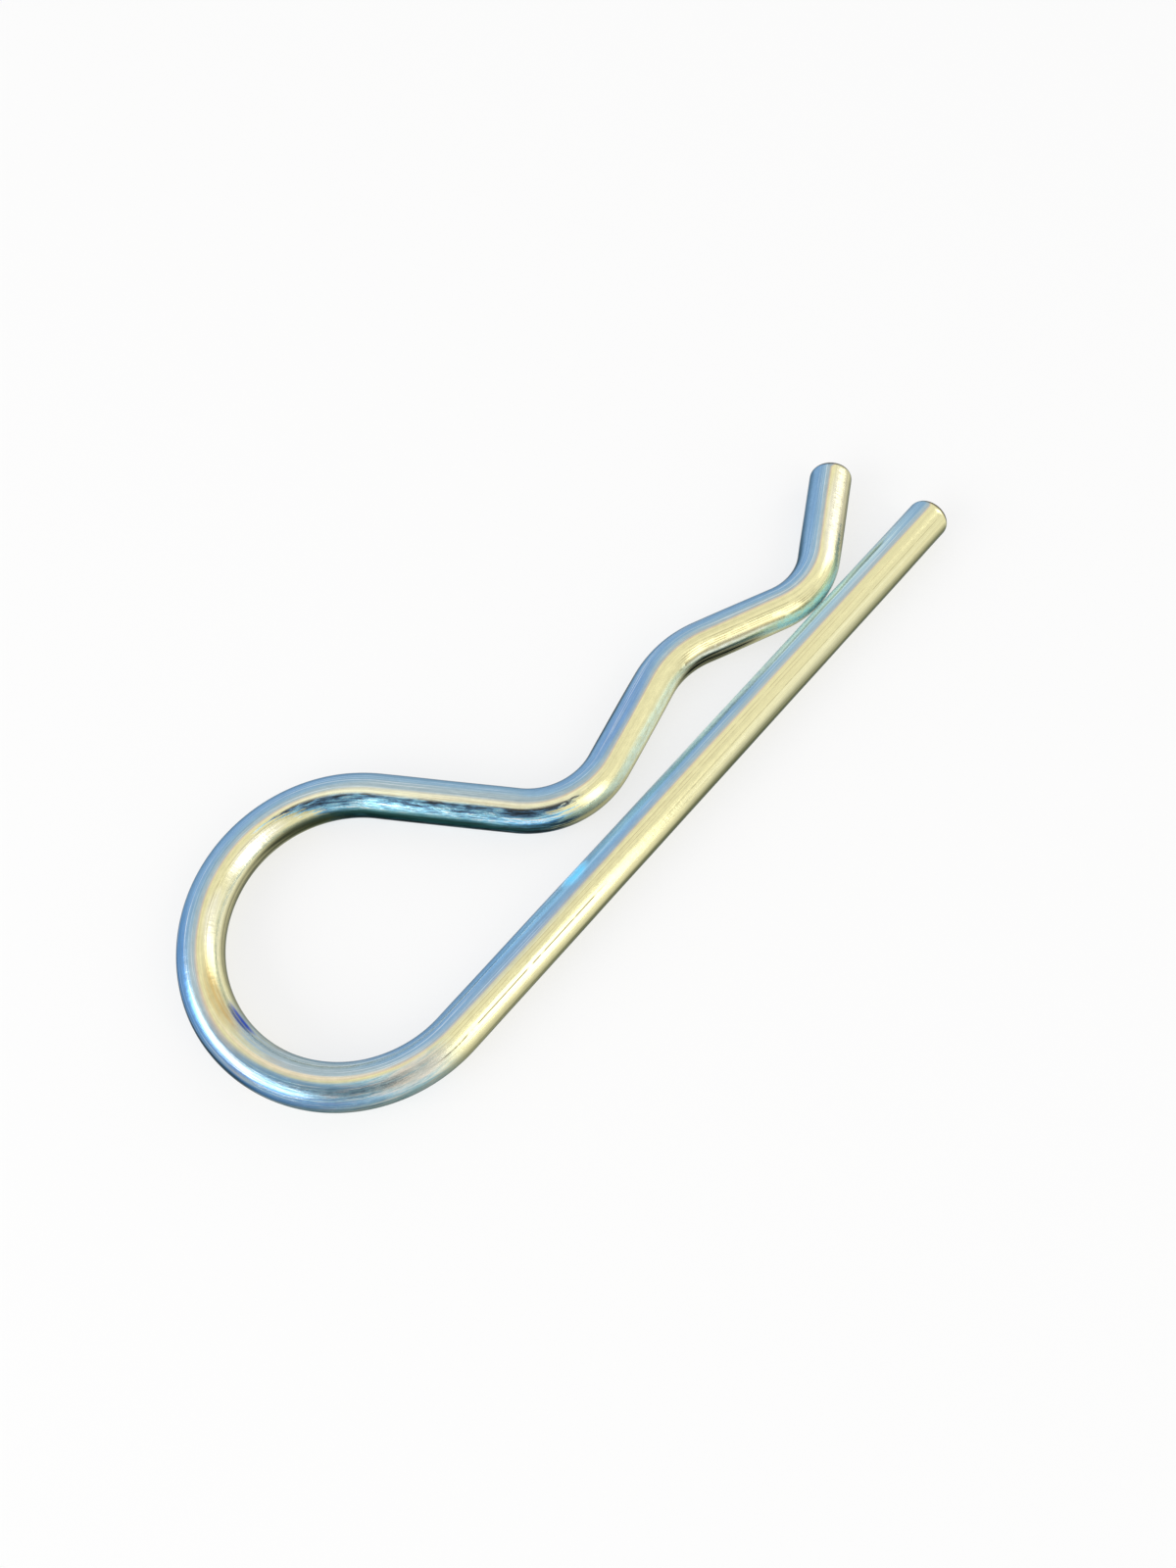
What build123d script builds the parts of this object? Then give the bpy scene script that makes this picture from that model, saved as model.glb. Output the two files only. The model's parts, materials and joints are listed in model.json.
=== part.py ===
from build123d import *

import math
import os

# Hitch R clip: one round spring-steel wire, bent in one plane and laid flat in it.
# The straight leg's axis is the X axis and its tip points to +X. X = 0 is the axis of the cross-drilled
# shaft that the clip locks, under the crown of the shaped leg's seat. The wire's own plane is Z = 0.

# Driving dimensions in millimetres

# The wire and its two sheared ends
WIRE_DIAMETER = 4.0
END_EDGE_RADIUS = 1.0

# The straight leg, which goes through the shaft's cross hole: from the shaft's axis to the tip
LEG_REACH = 28.9

# The loop that springs the legs together and that a finger pulls
LOOP_INSIDE_DIAMETER = 21.2

# The shaped leg: clear gap to the straight leg at each bend, and the radius inside each bend
NECK_GAP = 2.0
NECK_INSIDE_RADIUS = 5.9
SEAT_DEPTH = 4.65
SEAT_INSIDE_RADIUS = 7.7
MOUTH_GAP = 0.1
MOUTH_INSIDE_RADIUS = 5.4
FLARE_LENGTH = 10.2

# Angle in degrees between the straight leg and each straight run of the shaped leg
NECK_SLOPE = 55.7
SEAT_RISE = 14.0
SEAT_FALL = 23.3
FLARE_ANGLE = 30.4

# Centreline radius of each bend, half a wire outside the mandrel that forms it
wire_radius = WIRE_DIAMETER / 2
loop_radius = LOOP_INSIDE_DIAMETER / 2 + wire_radius
neck_radius = NECK_INSIDE_RADIUS + wire_radius
seat_radius = SEAT_INSIDE_RADIUS + wire_radius
mouth_radius = MOUTH_INSIDE_RADIUS + wire_radius

# Centreline height over the straight leg's axis where each bend runs level with it
loop_height = 2 * loop_radius
neck_height = WIRE_DIAMETER + NECK_GAP
seat_height = WIRE_DIAMETER + SEAT_DEPTH
mouth_height = WIRE_DIAMETER + MOUTH_GAP


def run_between(height_a, height_b, slope, radius_a, radius_b):
    """Straight run that joins two opposite bends at the given slope.

    Returns its length, and the distance along the leg between the level points of the two bends.
    """
    lean = math.radians(slope)
    bends = radius_a + radius_b
    length = (abs(height_a - height_b) - bends * (1 - math.cos(lean))) / math.sin(lean)
    advance = bends * math.sin(lean) + length * math.cos(lean)
    return length, advance


slope_length, slope_advance = run_between(loop_height, neck_height, NECK_SLOPE, loop_radius, neck_radius)
rise_length, rise_advance = run_between(neck_height, seat_height, SEAT_RISE, neck_radius, seat_radius)
fall_length, fall_advance = run_between(seat_height, mouth_height, SEAT_FALL, seat_radius, mouth_radius)

# The loop's centre stands over the end of the straight leg, behind the seat's crown
leg_root = -(slope_advance + rise_advance)


def wire_centreline():
    """Bends the wire from the straight leg's tip round to the flared tip, each run tangent to the last."""
    with BuildLine() as centreline:
        leg = Line((LEG_REACH, 0), (leg_root, 0))
        loop = JernArc(leg @ 1, leg % 1, loop_radius, -(180 + NECK_SLOPE))
        slope = PolarLine(loop @ 1, slope_length, direction=loop % 1)
        neck = JernArc(slope @ 1, slope % 1, neck_radius, NECK_SLOPE + SEAT_RISE)
        rise = PolarLine(neck @ 1, rise_length, direction=neck % 1)
        seat = JernArc(rise @ 1, rise % 1, seat_radius, -(SEAT_RISE + SEAT_FALL))
        fall = PolarLine(seat @ 1, fall_length, direction=seat % 1)
        mouth = JernArc(fall @ 1, fall % 1, mouth_radius, SEAT_FALL + FLARE_ANGLE)
        PolarLine(mouth @ 1, FLARE_LENGTH, direction=mouth % 1)
    return centreline.wire()


def clip_wire():
    """The round section carried along the bent centreline, with the edge of each sheared end rounded."""
    centreline = wire_centreline()
    with BuildPart() as clip:
        with BuildSketch(Plane(origin=centreline @ 0, z_dir=centreline % 0)):
            Circle(wire_radius)
        sweep(path=centreline)
        sheared_ends = clip.faces().filter_by(GeomType.PLANE)
        fillet(sheared_ends.edges(), END_EDGE_RADIUS)
    return clip.part


os.makedirs("parts", exist_ok=True)
export_step(clip_wire(), "parts/clip_wire.step")
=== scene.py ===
"""Hitch R clip: the zinc-plated wire, the studio round it and the camera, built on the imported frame."""

import json
import logging
import math
from dataclasses import dataclass, field
from enum import Enum
from typing import Any, Mapping, Sequence

import bpy
import numpy as np
from mathutils import Matrix, Vector

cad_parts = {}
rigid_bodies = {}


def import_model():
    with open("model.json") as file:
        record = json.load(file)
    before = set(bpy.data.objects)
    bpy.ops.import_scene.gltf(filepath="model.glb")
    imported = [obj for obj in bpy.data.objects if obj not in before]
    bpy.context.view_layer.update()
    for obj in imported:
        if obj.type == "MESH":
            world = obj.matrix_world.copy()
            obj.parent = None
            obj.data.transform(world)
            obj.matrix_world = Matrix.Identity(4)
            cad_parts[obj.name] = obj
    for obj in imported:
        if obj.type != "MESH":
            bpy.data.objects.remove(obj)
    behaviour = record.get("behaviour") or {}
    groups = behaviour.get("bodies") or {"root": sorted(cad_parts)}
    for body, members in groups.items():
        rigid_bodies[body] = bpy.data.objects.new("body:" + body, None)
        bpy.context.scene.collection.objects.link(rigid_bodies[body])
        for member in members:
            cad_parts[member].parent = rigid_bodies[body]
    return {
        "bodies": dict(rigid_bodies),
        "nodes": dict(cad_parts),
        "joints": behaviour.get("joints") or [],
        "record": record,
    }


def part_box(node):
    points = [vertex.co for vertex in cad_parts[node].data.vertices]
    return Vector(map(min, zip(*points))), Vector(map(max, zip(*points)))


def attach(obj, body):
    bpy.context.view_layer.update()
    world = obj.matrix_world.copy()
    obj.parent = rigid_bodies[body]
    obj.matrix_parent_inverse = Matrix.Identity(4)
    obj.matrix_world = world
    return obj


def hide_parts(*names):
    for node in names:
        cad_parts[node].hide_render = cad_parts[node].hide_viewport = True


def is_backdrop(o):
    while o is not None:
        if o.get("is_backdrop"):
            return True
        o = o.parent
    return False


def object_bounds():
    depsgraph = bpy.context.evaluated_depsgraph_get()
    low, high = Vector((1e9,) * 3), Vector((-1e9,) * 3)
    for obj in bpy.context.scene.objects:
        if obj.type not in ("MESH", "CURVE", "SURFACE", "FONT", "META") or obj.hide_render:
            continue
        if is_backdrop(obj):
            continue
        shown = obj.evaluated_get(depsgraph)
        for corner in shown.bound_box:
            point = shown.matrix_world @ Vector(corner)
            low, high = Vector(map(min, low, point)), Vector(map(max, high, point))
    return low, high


LOG = logging.getLogger("hitch_r_clip")

WIRE_NODE = "clip_wire"
WIRE_BODY = "root"
MILLIMETRES = 1000.0
MICROMETRE = 1e-6

# Share of a patch's reach that has its full strength
PATCH_CORE = 0.35

# Height towards a mark's line, in millimetres, from which the skin is on the mark's own side of the wire
NEAR_SIDE = 0.3

Colour = tuple[float, float, float]
Shade = tuple[int, int, int]


class Run(Enum):
    """Runs of the bent wire, in order from the straight leg's tip to the flared tip."""

    LEG = 0
    LOOP = 1
    SLOPE = 2
    NECK = 3
    RISE = 4
    SEAT = 5
    FALL = 6
    MOUTH = 7
    FLARE = 8


class Skin(Enum):
    """Names of the attributes that the wire's mesh carries for its finish."""

    UNBENT = "unbent"
    FILM = "film"
    STRETCH = "stretch"
    SHEARED = "sheared"
    PAINTED_SHADE = "pooled"
    DARK_SIDE_LEAN = "drip_lean"


class WirePath:
    """Centreline of the bent wire: straights and tangent arcs, read by distance from the straight tip."""

    def __init__(self, start: Sequence[float], heading: float, lengths: Sequence[float],
                 turns: Sequence[float]) -> None:
        """Chains the runs, each from the end and heading of the last.

        A run of length l that turns by t ends at its chord, which is l * sin(t / 2) / (t / 2) long and
        points half the turn away from the run's first heading. A straight is the case t = 0.

        Args:
            start: the first point, in the wire's plane.
            heading: the first run's heading in radians.
            lengths: each run's length along the wire.
            turns: each run's turn in radians, left positive.
        """
        self.lengths = np.asarray(lengths, float)
        self.curvatures = np.asarray(turns, float) / self.lengths
        self.arcs = np.concatenate([[0.0], np.cumsum(self.lengths)])
        self.headings = heading + np.concatenate([[0.0], np.cumsum(turns)])
        steps = self._chord(self.lengths, self.headings[:-1], self.curvatures)
        self.points = np.cumsum(np.concatenate([[start], steps]), axis=0)

    @staticmethod
    def _chord(arc: np.ndarray, heading: np.ndarray, curvature: np.ndarray) -> np.ndarray:
        """Works out the step from a run's start to a point that lies arc along it.

        Args:
            arc: distances from the runs' starts.
            heading: the runs' first headings.
            curvature: the runs' curvatures.

        Returns:
            The steps in the wire's plane.
        """
        half_turn = arc * curvature / 2
        chord = arc * np.sinc(half_turn / np.pi)
        return np.stack([chord * np.cos(heading + half_turn), chord * np.sin(heading + half_turn)], axis=-1)

    @property
    def length(self) -> float:
        """The wire's whole length."""
        return float(self.arcs[-1])

    def span(self, run: Run) -> tuple[float, float]:
        """Distance along the wire at which a run starts and ends."""
        return float(self.arcs[run.value]), float(self.arcs[run.value + 1])

    def place(self, run: Run, share: float) -> float:
        """Distance along the wire to a share of one run."""
        low, high = self.span(run)
        return low + share * (high - low)

    def at(self, arc: np.ndarray) -> tuple[np.ndarray, np.ndarray]:
        """Reads the centreline.

        Args:
            arc: distances along the wire.

        Returns:
            The points in the wire's plane, and the headings there.
        """
        run = np.clip(np.searchsorted(self.arcs, arc, side="right") - 1, 0, len(self.lengths) - 1)
        local = arc - self.arcs[run]
        points = self.points[run] + self._chord(local, self.headings[run], self.curvatures[run])
        return points, self.headings[run] + local * self.curvatures[run]

    def curvature(self, arc: np.ndarray, ease: float) -> np.ndarray:
        """Curvature along the wire, averaged over a length of ease so that bends start gently."""
        turned = np.interp(arc + ease / 2, self.arcs, self.headings)
        return (turned - np.interp(arc - ease / 2, self.arcs, self.headings)) / ease


class Value:
    """A shader value: one output socket, with operators that add the Math nodes."""

    def __init__(self, tree: "ShaderTree", socket: bpy.types.NodeSocket) -> None:
        """Wraps an output socket of a tree."""
        self.tree = tree
        self.socket = socket

    def math(self, operation: str, *others: Any) -> "Value":
        """Adds a Math node on this value and others."""
        return self.tree.math(operation, self, *others)

    def __add__(self, other: Any) -> "Value":
        """self + other."""
        return self.math("ADD", other)

    __radd__ = __add__

    def __mul__(self, other: Any) -> "Value":
        """self * other."""
        return self.math("MULTIPLY", other)

    __rmul__ = __mul__

    def __sub__(self, other: Any) -> "Value":
        """self - other."""
        return self.math("SUBTRACT", other)

    def __rsub__(self, other: Any) -> "Value":
        """other - self."""
        return self.tree.math("SUBTRACT", other, self)


class ShaderTree:
    """A node tree that is written as Python calls and expressions."""

    # A Mix node has an output for each kind of data, and this one is its colour
    MIXED_COLOUR = 2

    def __init__(self, tree: bpy.types.NodeTree) -> None:
        """Starts from an emptied tree."""
        self.tree = tree
        tree.nodes.clear()

    def node(self, kind: str, settings: Mapping[str, Any] | None = None,
             sockets: Mapping[str | int, Any] | None = None) -> bpy.types.Node:
        """Adds one node.

        Args:
            kind: the node's type, without the ShaderNode prefix.
            settings: its properties, set first. The key stops gives a ramp's (place, colour) pairs.
            sockets: values or links for its inputs, by identifier, name or number.

        Returns:
            The node.
        """
        node = self.tree.nodes.new("ShaderNode" + kind)
        for name, setting in (settings or {}).items():
            if name == "stops":
                self._set_stops(node.color_ramp, setting)
            else:
                setattr(node, name, setting)
        for key, value in (sockets or {}).items():
            socket = node.inputs[key] if isinstance(key, int) else self._input(node, key)
            if isinstance(value, Value):
                self.tree.links.new(value.socket, socket)
            else:
                socket.default_value = value
        return node

    @staticmethod
    def _input(node: bpy.types.Node, key: str) -> bpy.types.NodeSocket:
        """Finds an input by its identifier, or else by its name."""
        return next((s for s in node.inputs if s.identifier == key), None) or node.inputs[key]

    @staticmethod
    def _set_stops(ramp: bpy.types.ColorRamp, stops: Sequence[tuple[float, Colour]]) -> None:
        """Gives a colour ramp its stops.

        Args:
            ramp: the ramp of a new node.
            stops: each stop's place and colour.
        """
        while len(ramp.elements) < len(stops):
            ramp.elements.new(1.0)
        for element, (place, colour) in zip(ramp.elements, stops):
            element.position = place
            element.color = rgba(colour)

    def value(self, node: bpy.types.Node, output: str | int = 0) -> Value:
        """Wraps one output of a node."""
        return Value(self, node.outputs[output])

    def math(self, operation: str, *values: Any) -> Value:
        """Adds a Math node."""
        return self.value(self.node("Math", {"operation": operation}, dict(enumerate(values))))

    def attribute(self, skin: Skin, output: str = "Fac") -> Value:
        """Reads one of the mesh's attributes."""
        return self.value(self.node("Attribute", {"attribute_name": skin.value}), output)

    def noise(self, vector: Value, scale: Sequence[float], detail: float = 2.0, roughness: float = 0.5,
              shift: float = 0.0) -> Value:
        """Smooth noise from 0 to 1, about 0.5.

        Args:
            vector: the place to read it at.
            scale: how many waves there are to a unit along each axis.
            detail: how many finer waves ride on it.
            roughness: how strong those are.
            shift: moves the pattern, so that two of them differ.

        Returns:
            The noise.
        """
        place = self.value(self.node("Mapping", None, {
            "Vector": vector, "Scale": scale, "Location": (shift,) * 3}))
        settings = {"noise_dimensions": "3D", "normalize": True}
        sockets = {"Vector": place, "Scale": 1.0, "Detail": detail, "Roughness": roughness}
        return self.value(self.node("TexNoise", settings, sockets), "Fac")

    def between(self, value: Any, low: float, high: float) -> Value:
        """Makes a soft step, which rises from 0 at low to 1 at high, or falls if high is the lower.

        Args:
            value: what the step follows.
            low: where the step is 0.
            high: where it is 1.

        Returns:
            The step.
        """
        first, last = (0.0, 1.0) if low < high else (1.0, 0.0)
        sockets = {"Value": value, "From Min": min(low, high), "From Max": max(low, high),
                   "To Min": first, "To Max": last}
        return self.value(self.node("MapRange", {"interpolation_type": "SMOOTHSTEP"}, sockets))

    def window(self, value: Value, low: float, high: float, ease: float) -> Value:
        """1 between low and high, falling to 0 over ease on each side."""
        return self.between(value, low - ease, low) * self.between(value, high + ease, high)

    def ramp(self, value: Value, stops: Sequence[tuple[float, Colour]]) -> Value:
        """Colour from a ramp."""
        return self.value(self.node("ValToRGB", {"stops": stops}, {"Fac": value}), "Color")

    def grey(self, value: Value) -> Value:
        """A grey as light as a value."""
        return self.value(self.node("CombineColor", None, {"Red": value, "Green": value, "Blue": value}))

    def mix(self, factor: Any, first: Any, second: Any, blend: str = "MIX") -> Value:
        """Mixes two colours.

        Args:
            factor: the second colour's share.
            first: the colour below.
            second: the colour above.
            blend: how the second is laid on the first.

        Returns:
            The mixed colour.
        """
        sockets = {"Factor_Float": factor, "A_Color": rgba(first), "B_Color": rgba(second)}
        settings = {"data_type": "RGBA", "blend_type": blend, "clamp_factor": True}
        return self.value(self.node("Mix", settings, sockets), self.MIXED_COLOUR)


def rgba(colour: Any) -> Any:
    """A plain colour with its alpha, or a linked colour as it is."""
    return colour if isinstance(colour, Value) else (*colour, 1.0)


def from_display(red: int, green: int, blue: int) -> Colour:
    """Makes a screen's colour linear, by the sRGB curve.

    Args:
        red: the red on a screen, from 0 to 255.
        green: the green.
        blue: the blue.

    Returns:
        The linear colour, from 0 to 1.
    """
    shares = np.array([red, green, blue]) / 255
    linear = np.where(shares <= 0.04045, shares / 12.92, ((shares + 0.055) / 1.055) ** 2.4)
    return tuple(float(x) for x in linear)


@dataclass(frozen=True)
class Patch:
    """A place on the unbent skin: a length along one run and a width round the wire.

    Its share runs from 0 at the run's start to 1 at its end, and its angle goes round the wire from the
    left of its heading. Length and width are in millimetres, and its shade is what a screen shows.
    """

    run: Run
    share: float
    angle: float
    length: float
    width: float
    shade: Shade
    strength: float

    @property
    def colour(self) -> Colour:
        """Its shade, made linear."""
        return from_display(*self.shade)

    def middle(self, path: WirePath) -> float:
        """Distance of its middle along the wire, in millimetres."""
        return path.place(self.run, self.share) * MILLIMETRES


class WireSkin:
    """The mesh's attributes as shader values, with masks that lie along and round the wire."""

    def __init__(self, tree: ShaderTree, path: WirePath) -> None:
        """Reads the attributes into a tree.

        Args:
            tree: the finish's node tree.
            path: the wire's centreline, which places what lies on one run.
        """
        self.tree = tree
        self.path = path
        self.place = tree.attribute(Skin.UNBENT, "Vector")
        parts = tree.node("SeparateXYZ", None, {"Vector": self.place})
        self.arc, self.side, self.lift = (tree.value(parts, axis) for axis in "XYZ")
        self.film = tree.attribute(Skin.FILM)
        self.stretch = tree.attribute(Skin.STRETCH)
        self.sheared = tree.attribute(Skin.SHEARED)
        self.pooled = tree.attribute(Skin.PAINTED_SHADE)
        self.drip_lean = tree.attribute(Skin.DARK_SIDE_LEAN)

    def across(self, angle: float) -> tuple[Value, Value]:
        """Measures from a line along the wire.

        Args:
            angle: the line's place round the wire, in degrees from the left of its heading.

        Returns:
            The distance from the line, and the height towards it, in millimetres.
        """
        turn = math.radians(angle)
        return (self.lift * math.cos(turn) - self.side * math.sin(turn),
                self.lift * math.sin(turn) + self.side * math.cos(turn))

    def patch(self, patch: Patch) -> Value:
        """Makes the mask of an oval patch.

        Args:
            patch: where it lies.

        Returns:
            1 in its middle, falling to 0 at its edge.
        """
        offset, towards = self.across(patch.angle)
        along = (self.arc - patch.middle(self.path)) * (2 / patch.length)
        round_wire = offset * (2 / patch.width)
        reach = (along * along + round_wire * round_wire).math("SQRT")
        return self.tree.between(reach, 1.0, PATCH_CORE) * self.tree.between(towards, 0.0, NEAR_SIDE)

    def line(self, patch: Patch) -> Value:
        """Makes the mask of a thin line along the wire.

        Args:
            patch: the line's place, length and width.

        Returns:
            1 along its middle, falling to 0 at its sides and ends.
        """
        offset, towards = self.across(patch.angle)
        middle, half = patch.middle(self.path), patch.length / 2
        ends = self.tree.window(self.arc, middle - half, middle + half, half / 3)
        return (self.tree.between(offset.math("ABSOLUTE"), patch.width, 0.0)
                * self.tree.between(towards, 0.0, NEAR_SIDE) * ends)

    def ends(self, run: Run) -> tuple[float, float]:
        """Distance along the wire at which a run starts and ends, in millimetres."""
        low, high = self.path.span(run)
        return low * MILLIMETRES, high * MILLIMETRES

    def run(self, run: Run, ease: float) -> Value:
        """Mask of one run of the wire, with soft ends."""
        return self.tree.window(self.arc, *self.ends(run), ease)


@dataclass(frozen=True)
class Marks:
    """Patterns of the drawn and plated wire, which its colour, relief and roughness share.

    Streaks and hairs are drawing lines, and calm is where they are faint. Mottle and grains are the plate's
    texture, and slope and coarse are where its grains show, with the plate's painted dark reflection and
    glints.
    The last mark is where the metal is made dull, under painted light, painted highlights, painted
    reflections and one scuff.
    """

    streaks: Value
    hairs: Value
    mottle: Value
    grains: Value
    slope: Value
    coarse: Value
    dull_painted_light_and_scuff: Value
    calm: Value


@dataclass(frozen=True)
class ZincPassivate:
    """Bright zinc on drawn spring wire, under a thin film that is straw on one side and blue on the other.
    The tints are the passivate's own, but which side is straw and which blue is a painted reflection of
    warm light on the picture's right and blue light away from it.

    Reliefs and scratches are heights in micrometres. Drawing lines are faint up to the first calm reach, in
    millimetres from the straight tip, and plain from the second.
    """

    straw: Colour = from_display(238, 231, 180)
    tan: Colour = from_display(226, 208, 178)
    lilac: Colour = from_display(198, 197, 190)
    pale_blue: Colour = from_display(175, 194, 201)
    blue: Colour = from_display(150, 184, 207)
    steel: Colour = from_display(134, 174, 212)
    # Multiplied in as painted shade: dark reflections on the low dark side and the steep blue side
    pooled: Colour = from_display(92, 102, 94)
    # Coarse plate grain colours: the navy pits are painted dark reflection, frost and glint painted glints
    navy: Colour = from_display(34, 44, 62)
    slate: Colour = from_display(98, 150, 190)
    frost: Colour = from_display(164, 232, 255)
    glint: Colour = from_display(250, 255, 255)
    scoured: Colour = from_display(234, 240, 240)
    rim: Colour = from_display(104, 92, 76)
    bare: Colour = from_display(170, 166, 156)
    grazing: Colour = (0.42, 0.46, 0.47)
    roughness: float = 0.18
    streak_relief: float = 18.0
    hair_relief: float = 11.0
    mottle_relief: float = 7.0
    grain_relief: float = 36.0
    shear_relief: float = 30.0
    flare_scratches: float = 80.0
    worn_scratches: float = 24.0
    calm_reaches: tuple[float, float] = (24.0, 42.0)

    # Lighter, darker, bluer and browner ovals over the film's tint; the ones marked below are painted
    # highlights, painted reflections or painted shade
    tints_and_painted_light: tuple[Patch, ...] = (
        Patch(Run.LOOP, 0.29, 130.0, 22.0, 2.4, (174, 193, 201), 0.95),
        Patch(Run.LOOP, 0.37, 160.0, 12.0, 1.8, (176, 192, 198), 0.9),
        Patch(Run.LOOP, 0.46, 121.0, 10.0, 1.5, (208, 176, 108), 0.75),
        Patch(Run.LOOP, 0.41, 146.0, 5.4, 1.1, (60, 88, 180), 0.95),
        # Painted reflection: a cream line of warm overhead light
        Patch(Run.LOOP, 0.28, 101.0, 22.0, 0.6, (236, 222, 190), 0.8),
        Patch(Run.LOOP, 0.34, 36.0, 32.0, 2.8, (86, 130, 176), 0.9),
        Patch(Run.LOOP, 0.28, 78.0, 22.0, 1.6, (112, 150, 178), 0.85),
        Patch(Run.LOOP, 0.52, 50.0, 17.0, 2.0, (88, 144, 204), 0.75),
        Patch(Run.LOOP, 0.08, 66.0, 8.0, 2.6, (212, 198, 178), 0.65),
        # Painted highlights: near white so the lamp highlights on the loop show white
        Patch(Run.LOOP, 0.61, 124.0, 8.0, 1.4, (252, 250, 238), 0.5),
        Patch(Run.LOOP, 0.76, 130.0, 10.0, 1.6, (252, 250, 238), 0.7),
        # Painted shade along the loop's inner edge
        Patch(Run.LOOP, 0.60, 181.0, 34.0, 2.2, (142, 140, 114), 0.85),
        # Painted light on the loop's inner side
        Patch(Run.LOOP, 0.62, 146.0, 24.0, 1.2, (255, 251, 216), 0.6),
        # Painted shade along the loop's inner edge, towards the slope
        Patch(Run.LOOP, 0.85, 166.0, 15.0, 1.4, (70, 78, 60), 0.75),
        Patch(Run.LEG, 0.86, 118.0, 38.0, 2.6, (130, 172, 216), 0.6),
        # Painted light: a pale reflection on the leg's side towards the shaped leg
        Patch(Run.LEG, 0.22, 129.0, 34.0, 1.7, (210, 238, 238), 0.85),
        # Painted light on the leg's blue edge, where it reflects the dark slope
        Patch(Run.LEG, 0.74, 131.0, 38.0, 1.4, (150, 204, 244), 0.7),
        Patch(Run.LEG, 0.74, 106.0, 34.0, 1.0, (128, 170, 212), 0.5),
        # Painted reflection: a light band along the leg's lower side, with painted shade just below it
        Patch(Run.LEG, 0.34, 46.0, 46.0, 0.9, (255, 250, 206), 0.7),
        Patch(Run.LEG, 0.34, 30.0, 48.0, 1.1, (206, 204, 166), 0.75),
        # Painted reflection: a cream band of warm overhead light along the slope
        Patch(Run.SLOPE, 0.45, 99.0, 36.0, 0.9, (255, 252, 218), 0.95),
        # Painted reflection: teal along the slope's edge
        Patch(Run.SLOPE, 0.40, 158.0, 30.0, 1.4, (124, 196, 202), 0.7),
        Patch(Run.RISE, 0.50, 66.0, 15.0, 2.0, (118, 158, 208), 0.7),
        # Painted shade: darker so the lamp highlight on the fall comes out dim
        Patch(Run.FALL, 0.45, 131.0, 14.0, 1.0, (182, 174, 134), 0.8),
        # Painted shade: near black at the fall's lower edge, by the gap between the legs
        Patch(Run.FALL, 0.02, 171.0, 14.0, 2.0, (16, 30, 28), 1.0),
        # Painted highlight: whiter where the lamp highlight falls on the flare
        Patch(Run.FLARE, 0.40, 106.0, 15.0, 1.5, (240, 236, 216), 0.75),
        # Painted shade: darker towards the flare's edge, dimming the lamp highlight
        Patch(Run.FLARE, 0.50, 130.0, 15.0, 2.2, (200, 194, 168), 0.8),
        Patch(Run.FLARE, 0.50, 160.0, 15.0, 1.2, (144, 140, 116), 0.8),
    )

    # Dull ovals, with less of the metal's shine: painted light, painted highlights and painted reflections,
    # and one cyan scuff
    painted_light_and_scuffs: tuple[Patch, ...] = (
        # Painted light: pale where the leg's side towards the shaped leg reflects darkly
        Patch(Run.LEG, 0.34, 150.0, 50.0, 2.0, (196, 226, 222), 0.75),
        Patch(Run.LEG, 0.73, 134.0, 26.0, 1.9, (132, 180, 212), 0.6),
        # A scuff of the film
        Patch(Run.LEG, 0.755, 138.0, 3.8, 2.2, (112, 208, 255), 0.95),
        # Painted light on the rise's inner side
        Patch(Run.RISE, 0.45, 150.0, 22.0, 1.7, (236, 246, 216), 0.75),
        # Painted highlight: a white line along the fall
        Patch(Run.FALL, 0.20, 144.0, 14.0, 0.9, (255, 255, 236), 0.8),
        # Painted reflection: teal where the legs meet
        Patch(Run.MOUTH, 0.30, 162.0, 13.0, 2.0, (186, 236, 226), 0.75),
    )

    # Lines that the drawing die scored along the wire
    die_lines: tuple[Patch, ...] = (
        Patch(Run.LEG, 0.30, 57.0, 36.0, 0.07, (160, 148, 112), 0.45),
        Patch(Run.LEG, 0.89, 55.0, 16.0, 0.11, (84, 76, 58), 1.0),
        Patch(Run.LEG, 0.62, 84.0, 44.0, 0.06, (186, 168, 124), 0.5),
        Patch(Run.LEG, 0.55, 76.0, 52.0, 0.05, (196, 178, 134), 0.5),
        Patch(Run.FALL, 0.40, 139.0, 13.0, 0.34, (166, 154, 112), 0.9),
        Patch(Run.FALL, 0.45, 128.0, 12.0, 0.07, (120, 108, 76), 0.8),
        Patch(Run.FALL, 0.45, 123.0, 12.0, 0.10, (150, 138, 100), 0.8),
        Patch(Run.FALL, 0.40, 117.0, 11.0, 0.06, (140, 128, 90), 0.7),
        Patch(Run.FALL, 0.50, 110.0, 10.0, 0.05, (150, 140, 104), 0.6),
        Patch(Run.LOOP, 0.75, 114.0, 11.0, 0.06, (160, 146, 104), 0.5),
    )

    def film_stops(self) -> list[tuple[float, Colour]]:
        """Colours of the film from thin to thick."""
        return [(0.0, self.straw), (0.54, self.straw), (0.57, self.tan), (0.60, self.lilac),
                (0.635, self.pale_blue), (0.69, self.pale_blue), (0.76, self.blue), (0.96, self.steel)]

    def grain_and_reflection_stops(self) -> list[tuple[float, Colour]]:
        """Colours of the coarse plate from its pits to its peaks: the navy pits are painted dark
        reflection, frost and glint painted glints.
        """
        return [(0.36, self.navy), (0.45, self.slate), (0.55, self.frost), (0.68, self.glint)]

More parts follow.
